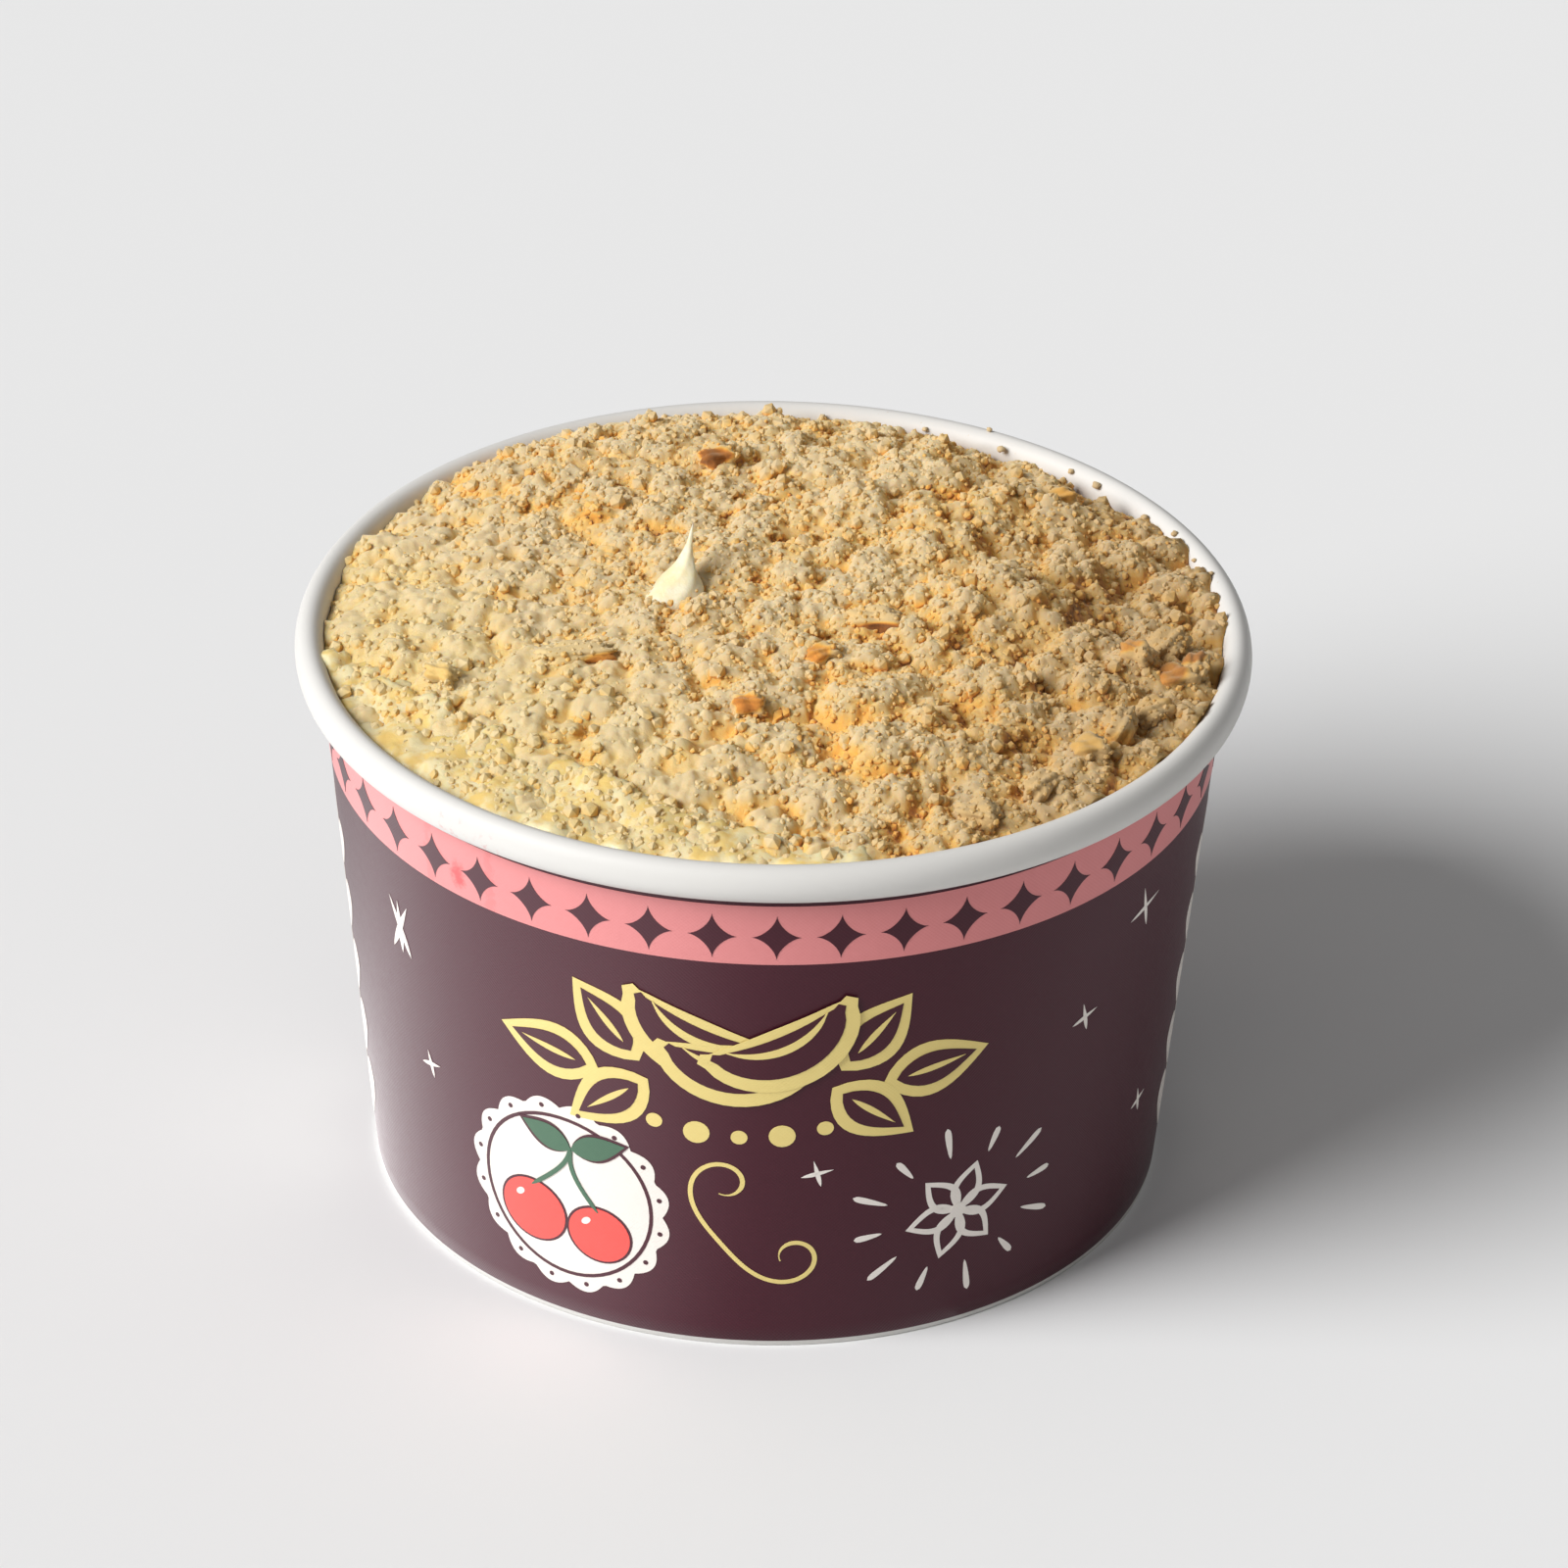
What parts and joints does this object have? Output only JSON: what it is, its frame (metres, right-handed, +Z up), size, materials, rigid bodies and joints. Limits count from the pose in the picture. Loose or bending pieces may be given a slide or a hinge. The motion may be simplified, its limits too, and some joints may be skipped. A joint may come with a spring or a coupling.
{
  "type": "banana pudding cup",
  "caption": "Round tapered paper cup with a rolled rim, filled with banana pudding and heaped with crushed wafer crumbs.",
  "frame": {"origin": "centre of the ring that the cup stands on", "axes": "+Z up along the cup's axis; -Y is the printed front; +X is to the right seen from the front"},
  "size_m": [0.097, 0.097, 0.0689],
  "materials": {
    "printed_board": "satin coated paperboard, dark plum print, white rolled rim",
    "bare_board": "white uncoated paperboard",
    "cream": "moist pale yellow pudding and cream",
    "wafer_crumb": "dry crushed vanilla wafer"
  },
  "bodies": {
    "root": {"cup_sidewall": "printed_board", "cup_base": "bare_board", "pudding": "cream", "crumb_topping": "wafer_crumb"}
  },
  "joints": []
}
